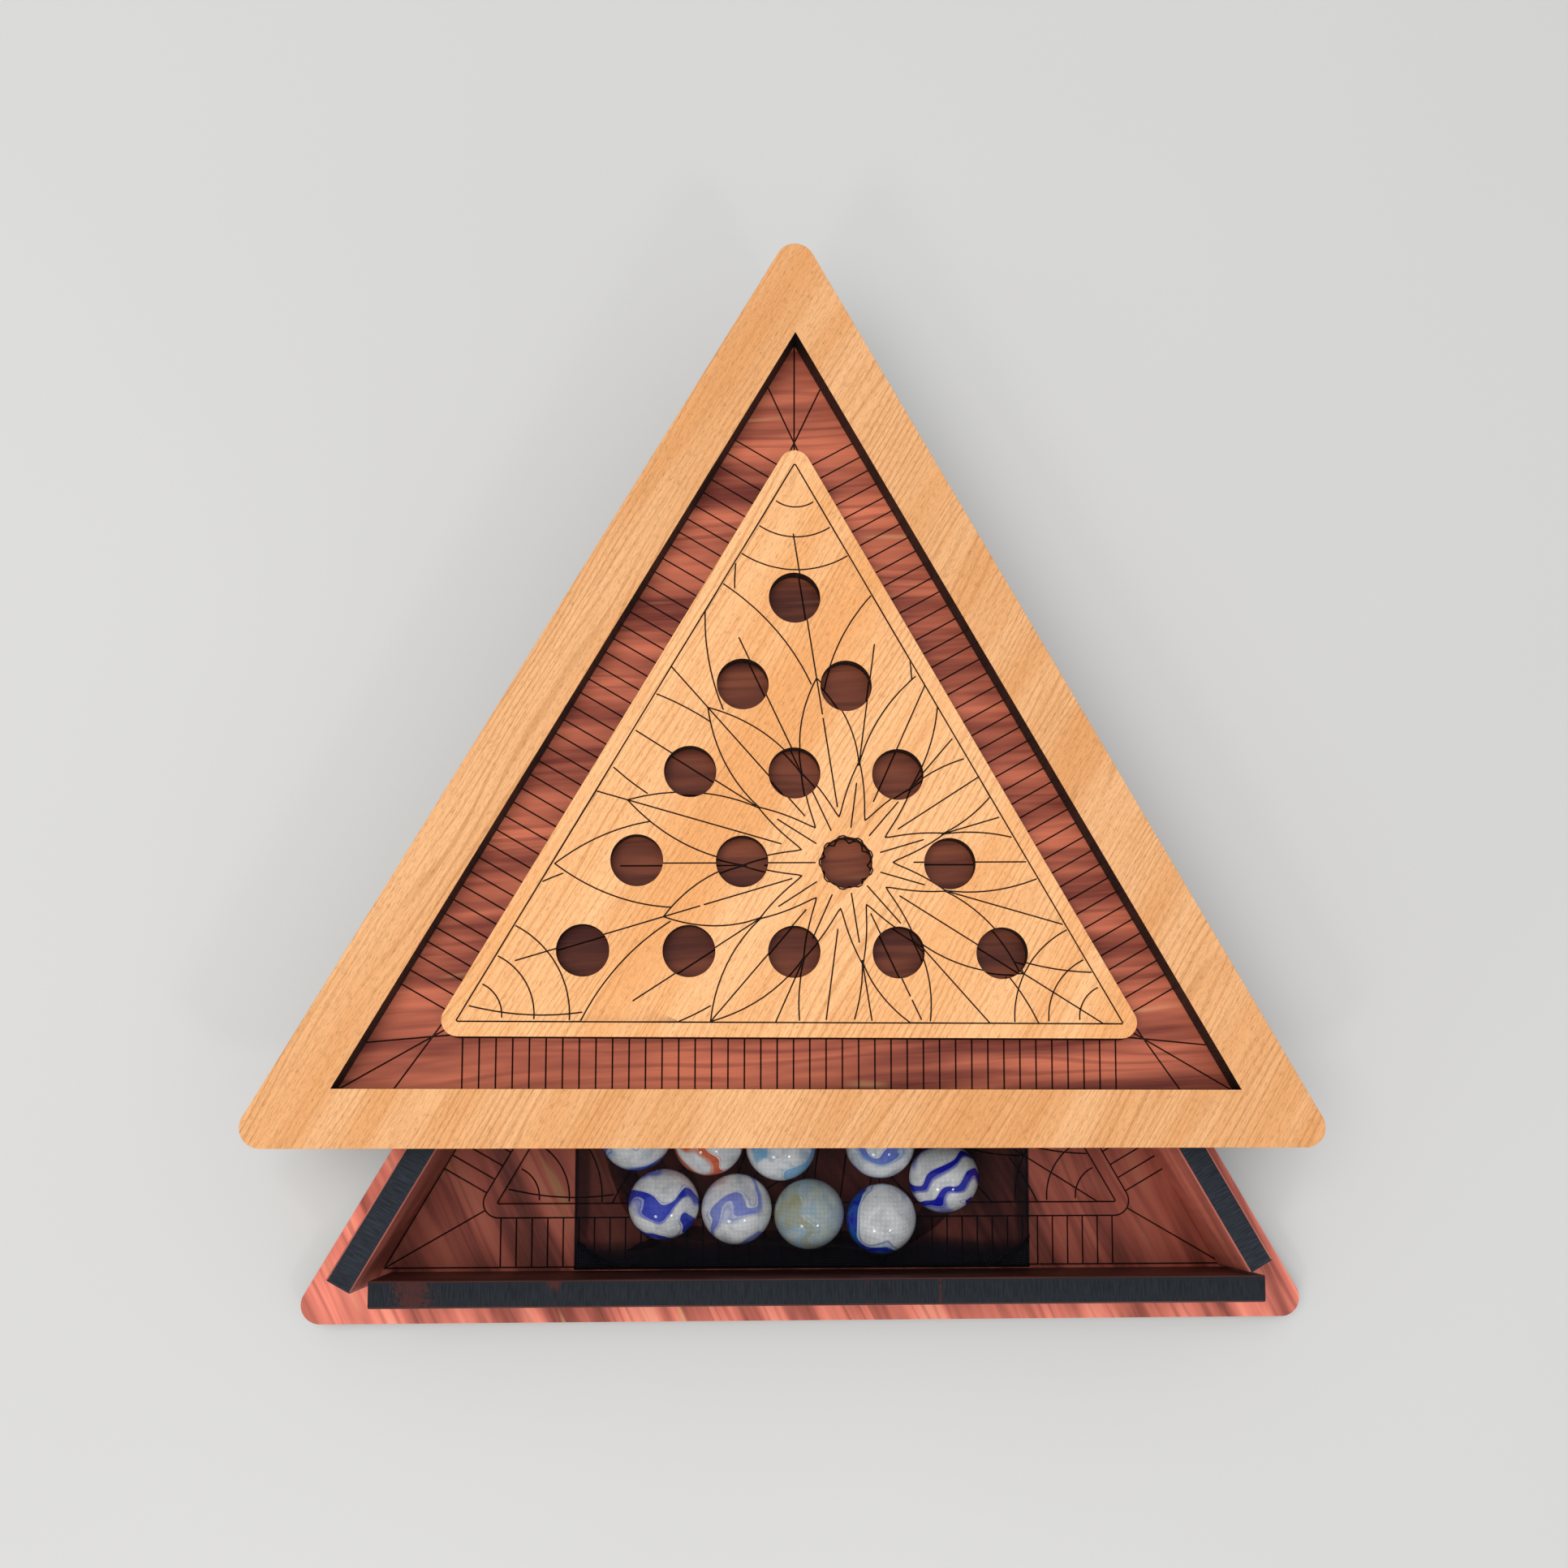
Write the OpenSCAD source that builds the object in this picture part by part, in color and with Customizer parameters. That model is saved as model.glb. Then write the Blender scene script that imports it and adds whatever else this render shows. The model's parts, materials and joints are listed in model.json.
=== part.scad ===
// Triangular marble solitaire game. A shallow box holds a sheer pouch of glass
// marbles, and its loose lid is the playing board, slid part of the way back.
// Millimetres, +Z up. The origin is the centre of the box's underside, and the
// triangle's point is towards +Y.

/* [Outline] */
// Side of the box and of the lid, to the sharp corners
side = 232; // [200:1:320]
// Radius of the outline's rounded corners
corner_r = 4.3; // [1:0.1:8]

/* [Box] */
// Thickness of the bottom panel
base_t = 6; // [3:0.1:12]
// Height of the walls
wall_h = 22; // [19:0.5:50]
// Thickness of the walls
wall_t = 5.8; // [3:0.1:8]
// Ledge outside the front wall
ledge_front = 5.6; // [2:0.1:9]
// Ledge outside the right wall
ledge_right = 7.4; // [2:0.1:9]
// Ledge outside the left wall
ledge_left = 6.2; // [2:0.1:9]
// Gap between the front wall's left end and the left wall
front_gap = 1.8; // [0.1:0.1:4]
// Gap between each other wall's butt end and the wall that it meets
butt_gap = 0.3; // [0.1:0.1:4]
// How far each wall's free end stops short of the next wall's outer face
free_end_set = 6; // [0:0.5:12]

/* [Lid] */
// Thickness of the lid's panel
panel_t = 3.2; // [2:0.1:8]
// Width of the raised frame's bars
frame_w = 12.2; // [6:0.1:20]
// Thickness of the raised frame
frame_t = 6; // [3:0.1:12]
// How far the lid is slid towards the back
lid_back = 38.9; // [0:0.1:60]
// How far the lid is slid towards the left
lid_left = 5; // [0:0.1:8]

/* [Playing board] */
// Side of the playing board, to the sharp corners
board_side = 151.7; // [130:0.1:160]
// Radius of the playing board's corners
board_r = 3.4; // [1:0.1:8]
// Thickness of the playing board
board_t = 3.2; // [2:0.1:5]
// Rows of holes
rows = 5; // [3:1:5]
// Distance between neighbouring holes
hole_pitch = 22.2; // [18:0.1:24]
// Diameter of the holes
hole_d = 11.1; // [8:0.1:14]

/* [Marbles and pouch] */
// Diameter of a marble
marble_d = 15.6; // [12:0.1:18]
// Gap between neighbouring marbles
marble_gap = 0.4; // [0.2:0.1:1]
// Width of the pouch as it lies
pouch_w = 103; // [95:1:110]
// Length of the pouch as it lies, from its front edge to its mouth
pouch_l = 62; // [60:1:70]
// How far the pouch's middle lies left of the box's middle
pouch_left = 1.5; // [0:0.1:4]
// Thickness allowed for the pouch's cloth
cloth_t = 0.3; // [0.2:0.1:1]
// Thickness of the pouch's flat margin, two layers of cloth lying loosely
margin_t = 1; // [0.6:0.1:2]
// Gap between the pouch and what it lies against, inside and out
soft_gap = 0.25; // [0.1:0.05:0.5]

/* [Hidden] */
$fn = 64;
// Straight steps along each round corner
ARC_STEPS = 16;

// Distance from the middle of a triangle of side s to the middle of a side
function apothem(s) = s / (2 * sqrt(3));
// Distance from the middle of a triangle of side s to a sharp corner
function reach(s) = s / sqrt(3);
// Side of the triangle that lies a distance w inside a triangle of side s
function inner_side(s, w) = s - 2 * sqrt(3) * w;

// Directions of the three corners, and the turn that takes the front side to each side
CORNERS = [90, 210, 330];
TURN_FRONT = 0;
TURN_RIGHT = 120;
TURN_LEFT = 240;

// Levels, from the bottom up
floor_z = base_t;
rim_z = floor_z + wall_h;
panel_top_z = rim_z + panel_t;
lid_offset = [-lid_left, lid_back, 0];

// Where the inside of each wall is, measured from the middle
inside_front = apothem(side) - ledge_front - wall_t;
inside_right = apothem(side) - ledge_right - wall_t;
inside_left = apothem(side) - ledge_left - wall_t;

// The marbles lie in short slanted rows. Each row is its number of marbles, its
// first marble's column and row, and the rise from one marble to the next, all but
// the number counted in marble pitches.
marble_r = marble_d / 2;
marble_pitch = marble_d + marble_gap;
MARBLE_ROWS = [
    [4, -2.05, 0.10, -0.07],
    [3, -2.44, 1.04, -0.07],
    [1, 0.94, 0.93, 0],
    [1, 1.83, 0.45, 0],
    [5, -1.95, 2.05, -0.03]
];
// Lowest marble's row, which sets how far the front row stands off the pouch's edge
LOWEST_ROW = -0.11;
// Flat cloth between the pouch's front edge and the front marbles
front_margin = 3.7;
pouch_front = -inside_front + soft_gap;
marble_y = pouch_front + front_margin + marble_r - LOWEST_ROW * marble_pitch;
marble_z = floor_z + 2 * soft_gap + cloth_t + marble_r;
MARBLES = [
    for (row = MARBLE_ROWS, i = [0 : row[0] - 1])
        [marble_pitch * (row[1] + i), marble_y + marble_pitch * (row[2] + i * row[3])]
];

// The raised middle of the pouch, round the outermost marbles
swell = 2.2;
swell_r = 8;
swell_x = [min([for (m = MARBLES) m[0]]) - marble_r - swell, max([for (m = MARBLES) m[0]]) + marble_r + swell];
swell_y = [min([for (m = MARBLES) m[1]]) - marble_r - swell, max([for (m = MARBLES) m[1]]) + marble_r + swell];
pouch_z = floor_z + soft_gap;
pouch_h = marble_d + 2 * (soft_gap + cloth_t);
pouch_corner_r = 5;

function two_digits(i) = str(i < 10 ? "0" : "", i);
function marble_name(i) = str("marble_", two_digits(i + 1));

// ---- shapes that repeat ----

// Sharp triangle of side s about the origin
module sharp_triangle(s) {
    polygon([for (a = CORNERS) reach(s) * [cos(a), sin(a)]]);
}

// Points along an arc about centre c, from angle a to angle b
function arc(c, r, a, b) = [
    for (i = [0 : ARC_STEPS]) let (t = a + (b - a) * i / ARC_STEPS) c + r * [cos(t), sin(t)]
];

// Triangle of side s with round corners of radius r
module round_triangle(s, r) {
    polygon([for (a = CORNERS) each arc((reach(s) - 2 * r) * [cos(a), sin(a)], r, a - 60, a + 60)]);
}

// Rectangle from one corner to the other with round corners of radius r
module round_rectangle(x, y, r) {
    polygon(concat(
        arc([x[1] - r, y[1] - r], r, 0, 90),
        arc([x[0] + r, y[1] - r], r, 90, 180),
        arc([x[0] + r, y[0] + r], r, 180, 270),
        arc([x[1] - r, y[0] + r], r, 270, 360)
    ));
}

// One wall, drawn on the front side and turned to its own. Both ends are cut square.
// Its left end butts against the inside of the wall before it, which is at inside_before
// from the middle, and its right end stops short of the outside of the wall after it.
module wall(turn, ledge, inside_before, ledge_after, gap) {
    outer = apothem(side) - ledge;
    inner = outer - wall_t;
    outside_after = apothem(side) - ledge_after;
    left_x = -(inside_before - gap + inner * sin(30)) / cos(30);
    right_x = (outside_after - free_end_set + outer * sin(30)) / cos(30);
    translate([0, 0, floor_z])
        rotate([0, 0, turn])
            translate([left_x, -outer, 0])
                cube([right_x - left_x, wall_t, wall_h]);
}

// ---- the box ----

module base_panel() {
    color("#a86a4a") linear_extrude(base_t) round_triangle(side, corner_r);
}

module wall_front() {
    color("#7d4a38") wall(TURN_FRONT, ledge_front, inside_left, ledge_right, front_gap);
}

module wall_right() {
    color("#7d4a38") wall(TURN_RIGHT, ledge_right, inside_front, ledge_left, butt_gap);
}

module wall_left() {
    color("#7d4a38") wall(TURN_LEFT, ledge_left, inside_right, ledge_front, butt_gap);
}

// ---- the lid ----

module lid_panel() {
    color("#8f5138")
        translate(lid_offset + [0, 0, rim_z]) linear_extrude(panel_t) round_triangle(side, corner_r);
}

module lid_frame() {
    color("#e8b57f")
        translate(lid_offset + [0, 0, panel_top_z]) linear_extrude(frame_t) difference() {
            round_triangle(side, corner_r);
            sharp_triangle(inner_side(side, frame_w));
        }
}

// Holes in rows of 1, 2, 3 and so on, the single hole towards the triangle's point
module play_board() {
    row_pitch = hole_pitch * cos(30);
    color("#efc08c")
        translate(lid_offset + [0, 0, panel_top_z]) difference() {
            linear_extrude(board_t) round_triangle(board_side, board_r);
            for (row = [0 : rows - 1], i = [0 : row])
                translate([(i - row / 2) * hole_pitch, (2 * (rows - 1) / 3 - row) * row_pitch, -1])
                    cylinder(d = hole_d, h = board_t + 2);
        }
}

// ---- the marbles and their pouch ----

// A hollow closed pouch: a flat margin all round and a raised middle over the marbles
module marble_bag() {
    edge_x = [-pouch_left - pouch_w / 2, -pouch_left + pouch_w / 2];
    edge_y = [pouch_front, pouch_front + pouch_l];
    color("#23222a")
        translate([0, 0, pouch_z]) difference() {
            union() {
                linear_extrude(margin_t) round_rectangle(edge_x, edge_y, pouch_corner_r);
                linear_extrude(pouch_h) round_rectangle(swell_x, swell_y, swell_r);
            }
            translate([0, 0, cloth_t])
                linear_extrude(pouch_h - 2 * cloth_t)
                    round_rectangle(
                        [swell_x[0] + cloth_t, swell_x[1] - cloth_t],
                        [swell_y[0] + cloth_t, swell_y[1] - cloth_t],
                        swell_r - cloth_t
                    );
        }
}

module marble(i) {
    color("#dfe4ea") translate([MARBLES[i][0], MARBLES[i][1], marble_z]) sphere(marble_r);
}

base_panel();
wall_front();
wall_right();
wall_left();
lid_panel();
lid_frame();
play_board();
marble_bag();
for (i = [0 : len(MARBLES) - 1]) marble(i);
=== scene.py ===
import json
import math

import bpy
import numpy as np
from mathutils import Matrix, Vector
from mathutils.geometry import delaunay_2d_cdt


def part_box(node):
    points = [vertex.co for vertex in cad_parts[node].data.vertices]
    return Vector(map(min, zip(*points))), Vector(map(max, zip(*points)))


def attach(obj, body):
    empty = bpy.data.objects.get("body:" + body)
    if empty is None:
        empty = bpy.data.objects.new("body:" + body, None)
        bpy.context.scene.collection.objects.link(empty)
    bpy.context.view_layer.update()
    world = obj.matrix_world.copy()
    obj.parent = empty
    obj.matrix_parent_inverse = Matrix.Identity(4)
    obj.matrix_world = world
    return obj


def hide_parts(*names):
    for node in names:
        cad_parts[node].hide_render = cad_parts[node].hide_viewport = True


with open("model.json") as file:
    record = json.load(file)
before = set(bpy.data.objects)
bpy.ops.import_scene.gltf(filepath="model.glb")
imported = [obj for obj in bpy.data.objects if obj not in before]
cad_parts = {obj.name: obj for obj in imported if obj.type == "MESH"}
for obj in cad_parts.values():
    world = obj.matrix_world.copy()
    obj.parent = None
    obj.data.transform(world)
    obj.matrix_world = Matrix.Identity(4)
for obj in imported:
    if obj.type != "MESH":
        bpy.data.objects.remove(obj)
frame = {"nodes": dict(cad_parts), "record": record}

bl_info = {
    "name": "Marble Solitaire",
    "version": (1, 0, 0),
    "blender": (4, 5, 0),
    "location": "3D View > Sidebar > Solitaire",
    "description": "Triangular marble solitaire box: engraved cedar, pale wood board, pouch and marbles",
    "category": "Object",
}

MM = 0.001
CORNERS = np.radians([90.0, 210.0, 330.0])
SIDES = np.radians([270.0, 30.0, 150.0])
ROOT3 = math.sqrt(3)
MARBLES = sorted(n for n in frame["nodes"] if n.startswith("marble_") and n != "marble_bag")
SLOTS = {s["node"]: s["material_slot"] for s in frame["record"]["subparts"]}


def linear(code):
    """A #rrggbb colour as linear red, green and blue."""
    parts = [int(code[i : i + 2], 16) / 255 for i in (1, 3, 5)]
    return tuple(c / 12.92 if c <= 0.04045 else ((c + 0.055) / 1.055) ** 2.4 for c in parts)


# ---------------------------------------------------------------- properties


class SolitaireSizes(bpy.types.PropertyGroup):
    """Sizes of the details that the frame doesn't hold"""

    groove_width: bpy.props.FloatProperty(
        name="Groove width", description="Width of an engraved line",
        default=0.41 * MM, unit="LENGTH"
    )
    groove_depth: bpy.props.FloatProperty(
        name="Groove depth", description="Depth of an engraved line",
        default=0.30 * MM, unit="LENGTH"
    )
    chamfer: bpy.props.FloatProperty(
        name="Edge chamfer", description="Width of the burnt chamfer on cut edges",
        default=0.05 * MM, unit="LENGTH"
    )
    band_pitch: bpy.props.FloatProperty(
        name="Band pitch", description="Distance between the border's short lines",
        default=3.47 * MM, unit="LENGTH"
    )
    border_set: bpy.props.FloatProperty(
        name="Border inset", description="From the board's edge to its border line",
        default=3.15 * MM, unit="LENGTH"
    )
    weave_pitch: bpy.props.FloatProperty(
        name="Weave pitch", description="Distance between the pouch's threads",
        default=0.62 * MM, unit="LENGTH"
    )


class SolitaireColours(bpy.types.PropertyGroup):
    """Colours of the finishes"""

    pale: bpy.props.FloatVectorProperty(
        name="Pale wood", description="Frame and playing board",
        subtype="COLOR", default=linear("#EDAF76")
    )
    pale_line: bpy.props.FloatVectorProperty(
        name="Pale wood grain", description="Grain lines of the pale wood",
        subtype="COLOR", default=linear("#C5854C")
    )
    cedar: bpy.props.FloatVectorProperty(
        name="Cedar", description="Lid panel",
        subtype="COLOR", default=linear("#BD654A")
    )
    cedar_dark: bpy.props.FloatVectorProperty(
        name="Cedar streaks", description="Dark streaks of the cedar",
        subtype="COLOR", default=linear("#6B2B20")
    )
    sapwood: bpy.props.FloatVectorProperty(
        name="Sapwood", description="Cream streaks of the cedar",
        subtype="COLOR", default=linear("#E7B27C")
    )
    box_cedar: bpy.props.FloatVectorProperty(
        name="Box cedar", description="Bottom panel of the box",
        subtype="COLOR", default=linear("#FA8C76")
    )
    char: bpy.props.FloatVectorProperty(
        name="Char", description="Laser-burnt edges and lines",
        subtype="COLOR", default=linear("#211814")
    )
    soot: bpy.props.FloatVectorProperty(
        name="Soot", description="Burnt tops of the walls",
        subtype="COLOR", default=linear("#15181D")
    )
    cloth: bpy.props.FloatVectorProperty(
        name="Cloth", description="Organza of the pouch",
        subtype="COLOR", default=linear("#0E0E13")
    )


# ---------------------------------------------------------------- outlines


def unit(angle):
    """(cos, sin) of one angle or of an array of angles."""
    return np.stack([np.cos(angle), np.sin(angle)], -1)


class Triangle:
    """An equilateral triangle about a centre, its point towards +Y, with round corners.

    side is measured to the sharp corners. A point's depth is how far inside the edge it is:
    the least of apothem - n.p over the three sides, or radius - |p - c| in a round corner."""

    def __init__(self, centre, side, radius=0.0):
        self.centre, self.side, self.radius = np.array(centre, float), side, radius

    def inset(self, d):
        return Triangle(self.centre, self.side - 2 * ROOT3 * d, max(self.radius - d, 0.0))

    def corner_centres(self):
        return self.centre + (self.side / ROOT3 - 2 * self.radius) * unit(CORNERS)

    def loop(self, steps=20):
        if self.radius == 0:
            return self.corner_centres()
        turn = np.radians(np.linspace(-60, 60, steps + 1))
        arcs = [c + self.radius * unit(a + turn) for c, a in zip(self.corner_centres(), CORNERS)]
        return np.concatenate(arcs)

    def depth(self, p):
        q = p - self.centre
        d = self.side / (2 * ROOT3) - (q @ unit(SIDES).T).max(-1)
        for c, a in zip(self.corner_centres(), CORNERS):
            v = p - c
            far = np.linalg.norm(v, axis=-1)
            d = np.where(v @ unit(a) > 0.5 * far, np.minimum(d, self.radius - far), d) if self.radius else d
        return d


class Round:
    """A circle, used for the holes. Its depth is radius - |p - c|."""

    def __init__(self, centre, radius):
        self.centre, self.radius = np.array(centre, float), radius

    def inset(self, d):
        return Round(self.centre, self.radius - d)

    def loop(self, steps=56):
        return self.centre + self.radius * unit(np.arange(steps) * 2 * math.pi / steps)

    def depth(self, p):
        return self.radius - np.linalg.norm(p - self.centre, axis=-1)

    def holds(self, p):
        """Whether a point is inside the circle."""
        return self.depth(p) > 0


def triangle_of(node):
    """The outline of a triangular node, from its box, whose width is side - 2 (root3 - 1) radius and whose
    length is root3 / 2 side - radius."""
    lo, hi = (np.array(v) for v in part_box(node))
    width, length = hi[0] - lo[0], hi[1] - lo[1]
    k = 2 * (ROOT3 - 1)
    side = (width - k * length) / (1 - k * ROOT3 / 2)
    radius = ROOT3 / 2 * side - length
    return Triangle(((lo[0] + hi[0]) / 2, lo[1] + side / (2 * ROOT3)), side, radius)


def vertices(node):
    """The vertices of a CAD node as an (n, 3) array."""
    mesh = frame["nodes"][node].data
    p = np.empty(len(mesh.vertices) * 3, np.float32)
    mesh.vertices.foreach_get("co", p)
    return p.reshape(-1, 3).astype(float)


def frame_opening():
    """The sharp opening of the raised frame: the frame's inner corner points are its innermost vertices."""
    outer = triangle_of("lid_frame")
    p = vertices("lid_frame")[:, :2] - outer.centre
    bar = (outer.side / (2 * ROOT3) - (p @ unit(SIDES).T).max(-1)).max()
    return Triangle(outer.centre, outer.side - 2 * ROOT3 * bar)


def board_holes():
    """The playing board's holes and their pitch: middles from the record's openings, radius from the node."""
    stated = [o["box_m"] for o in frame["record"]["physics"]["openings"] if o["holds"] == "one marble"]
    centres = np.array(stated).mean(1)[:, :2]
    gap = np.linalg.norm(vertices("play_board")[:, None, :2] - centres, axis=-1).min(1)
    pitch = np.sort(np.linalg.norm(centres - centres[0], axis=1))[1]
    radius = gap[gap < pitch / 2].mean()
    return [Round(c, radius) for c in centres], pitch


# ---------------------------------------------------------------- engraving


def line(a, b):
    """Two points of a straight line."""
    return np.array([a, b], float)


class Whorl:
    """A ring of petals about a centre. With u from 0 on a petal's own line to 1 midway to the next, the
    outline's distance is inner + (tip - inner) (1 - u)^(1 / full), and petal k's tip is at
    outer (1 + uneven sin 2.1 k)."""

    def __init__(self, centre, inner, outer, count, turn, full, uneven=0.0):
        self.centre, self.inner, self.outer, self.count = centre, inner, outer, count
        self.turn, self.full, self.uneven = turn, full, uneven
        self.own = turn + np.arange(count) * 2 * math.pi / count

    def reach(self, a):
        """The outline's distance at angle a."""
        k = np.round((a - self.turn) * self.count / (2 * math.pi))
        u = np.abs(a - self.turn - k * 2 * math.pi / self.count) * self.count / math.pi
        outer = self.outer * (1 + self.uneven * np.sin(2.1 * (k % self.count)))
        return self.inner + (outer - self.inner) * np.clip(1 - u, 0, 1) ** (1 / self.full)

    def sides(self, steps=26):
        """Both sides of every petal, each a line from the valley to the tip."""
        t = np.linspace(0, 1, steps)
        off = (1 - t**self.full) * (math.pi / self.count) * 0.9999
        a = np.concatenate([self.own[:, None] + off, self.own[:, None] - off])
        return list(self.centre + self.reach(a)[..., None] * unit(a))

    def veins(self):
        """A short line along the middle of every petal."""
        tip = self.reach(self.own)[:, None] * unit(self.own)
        return [line(self.centre + 0.3 * p, self.centre + 0.78 * p) for p in tip]

    def holds(self, q):
        """Whether a point is inside the outline."""
        v = q - self.centre
        return np.linalg.norm(v, axis=-1) < self.reach(np.arctan2(v[:, 1], v[:, 0]))


def ring(centre, radius, lobes, height, steps=12):
    """A scalloped ring: r = radius + height |sin(lobes a / 2)|."""
    a = np.linspace(0, 2 * math.pi, lobes * steps + 1)
    return [centre + (radius + height * np.abs(np.sin(lobes * a / 2)))[:, None] * unit(a)]


def arc(centre, radius, a0, a1, steps=20):
    """Points of a circle's arc between two angles."""
    return centre + radius * unit(np.linspace(a0, a1, steps))


PETALS = 11
FIRST_TURN = 0.30
HALF_STEP = math.pi / PETALS
# each whorl of petals: where it starts and ends, in hole pitches, its turn, fullness and unevenness
WHORLS = (
    (0.45, 1.0, FIRST_TURN, 0.7, 0.0),
    (0.95, 2.0, FIRST_TURN + HALF_STEP, 1.25, 0.1),
    (1.45, 3.1, FIRST_TURN, 1.3, 0.12),
    (2.3, 4.6, FIRST_TURN + HALF_STEP, 1.35, 0.1),
)


def flower(board, pitch):
    """A free flower about the fourth row's third hole: a scalloped ring, then whorls of petals with a vein
    each, every whorl under the one before, and arcs in the board's corners."""
    c = board.centre + np.array([0.5, -1 / (2 * ROOT3)]) * pitch
    out = ring(c, 0.215 * pitch, 9, 0.05 * pitch)
    under = Round(c, 0.3 * pitch)
    for inner, outer, turn, full, uneven in WHORLS:
        whorl = Whorl(c, inner * pitch, outer * pitch, PETALS, turn, full, uneven)
        out += clipped(whorl.sides() + whorl.veins(), lambda q: ~under.holds(q))
        under = whorl
    for corner, a in zip(board.corner_centres(), CORNERS):
        inward = a + math.pi
        for radius in (0.32, 0.62, 0.95):
            swing = math.radians(46 - 14 * radius)
            middle = corner + 0.1 * pitch * unit(inward)
            out.append(arc(middle, radius * pitch, inward - swing, inward + swing))
    return out


def clipped(lines, keep, step=0.9 * MM):
    """Each line sampled about every step, and cut to the runs whose points satisfy keep."""
    out = []
    for p in lines:
        length = np.r_[0, np.cumsum(np.linalg.norm(np.diff(p, axis=0), axis=1))]
        n = max(2, int(length[-1] / step) + 1)
        s = np.linspace(0, length[-1], n)
        q = np.stack([np.interp(s, length, p[:, 0]), np.interp(s, length, p[:, 1])], -1)
        inside = keep(q)
        cuts = np.flatnonzero(np.diff(inside.astype(int))) + 1
        runs = [r for r in np.split(np.arange(n), cuts) if inside[r[0]] and len(r) > 2]
        out += [q[r] for r in runs]
    return out


def unbroken(p, sharpest=0.5):
    """A line cut at its sharp corners, so that each piece's groove has whole shoulders and round ends."""
    t = np.diff(p, axis=0)
    t = t / np.maximum(np.linalg.norm(t, axis=1), 1e-12)[:, None]
    corners = np.flatnonzero((t[1:] * t[:-1]).sum(1) < math.cos(sharpest)) + 1
    ends = [0, *corners.tolist(), len(p) - 1]
    return [p[a : b + 1] for a, b in zip(ends[:-1], ends[1:])]


def thinned(p, bend=0.02 * MM):
    """A sampled line with only the points it needs: its ends, and one each time its bend adds up so far."""
    if len(p) < 4:
        return p
    mid = (p[:-2] + p[2:]) / 2
    off = np.linalg.norm(p[1:-1] - mid, axis=1)
    keep = np.r_[True, (np.cumsum(off) // bend) != np.r_[-1, np.cumsum(off)[:-1] // bend], True]
    return p[keep]


def border(inner, board, pitch, corner_rays):
    """The border between the frame's opening and the board's outline: short lines square to each side at
    the pitch along the board's straight edges, and rays from the board's corners to the opening's."""
    out = []
    meets = 0.30  # where a corner's slanting rays meet the opening, as a share of how much longer its side is
    straight = board.side - 2 * ROOT3 * board.radius
    count = int(straight / pitch / 2)
    for a in SIDES:
        n, t = unit(a), unit(a + math.pi / 2)
        near, far = board.side / (2 * ROOT3), inner.side / (2 * ROOT3)
        for s in np.arange(-count, count + 1) * pitch:
            out.append(line(board.centre + near * n + s * t, board.centre + far * n + s * t))
    for c, tip, a in zip(board.corner_centres(), inner.corner_centres(), CORNERS):
        out.append(line(c + board.radius * unit(a), tip))
        for s in corner_rays:
            foot = c + board.radius * unit(a + s)
            back = unit(a + math.copysign(math.pi / 6, s))
            out.append(line(foot, tip - meets * (inner.side - board.side) * back))
    return out


# ---------------------------------------------------------------- meshes


def new_object(name, points, faces, materials, slots=None, smooth_angle=None):
    """An object from whole arrays: points (n, 3), and faces as lists of equal-length index arrays."""
    mesh = bpy.data.meshes.new(name)
    flat = [f for block in faces for f in block.tolist()]
    mesh.from_pydata(points, [], flat)
    for m in materials:
        mesh.materials.append(m)
    if slots is not None:
        mesh.polygons.foreach_set("material_index", np.asarray(slots, np.int32))
    if smooth_angle is not None:
        mesh.polygons.foreach_set("use_smooth", np.ones(len(mesh.polygons), bool))
        mesh.set_sharp_from_angle(angle=math.radians(smooth_angle))
    mesh.update()
    obj = bpy.data.objects.new(name, mesh)
    bpy.context.scene.collection.objects.link(obj)
    return obj


def segments_near(p, a, b):
    """Distance from each point p to the nearest of the segments a to b, in blocks."""
    out = np.empty(len(p))
    ab = b - a
    long = np.maximum((ab**2).sum(1), 1e-18)
    for k in range(0, len(p), 1500):
        ap = p[k : k + 1500, None] - a[None]
        t = np.clip((ap * ab).sum(2) / long, 0, 1)
        out[k : k + 1500] = np.sqrt(((ap - t[..., None] * ab) ** 2).sum(2).min(1))
    return out


def triangulate(points, edges):
    """Constrained Delaunay triangles of 2D points and edges, in millimetres so that the tolerance suits."""
    verts = [Vector(p) for p in (points / MM).tolist()]
    out = delaunay_2d_cdt(verts, edges.tolist(), [], 0, 1e-4)
    return np.array([v[:] for v in out[0]]) * MM, np.array(out[2], int), out[3]


def closed(n, start=0):
    """Edges round a loop of n points."""
    i = np.arange(n)
    return np.stack([i, (i + 1) % n], -1) + start


def chain(n, start=0):
    """Edges along an open line of n points."""
    i = np.arange(n - 1)
    return np.stack([i, i + 1], -1) + start


def wrapped(rows, around):
    """Quads between neighbouring rings of points, every ring closed."""
    i, j = np.meshgrid(np.arange(rows - 1), np.arange(around), indexing="ij")
    k = (j + 1) % around
    quads = np.stack([i * around + j, i * around + k, (i + 1) * around + k, (i + 1) * around + j], -1)
    return quads.reshape(-1, 4)


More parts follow.
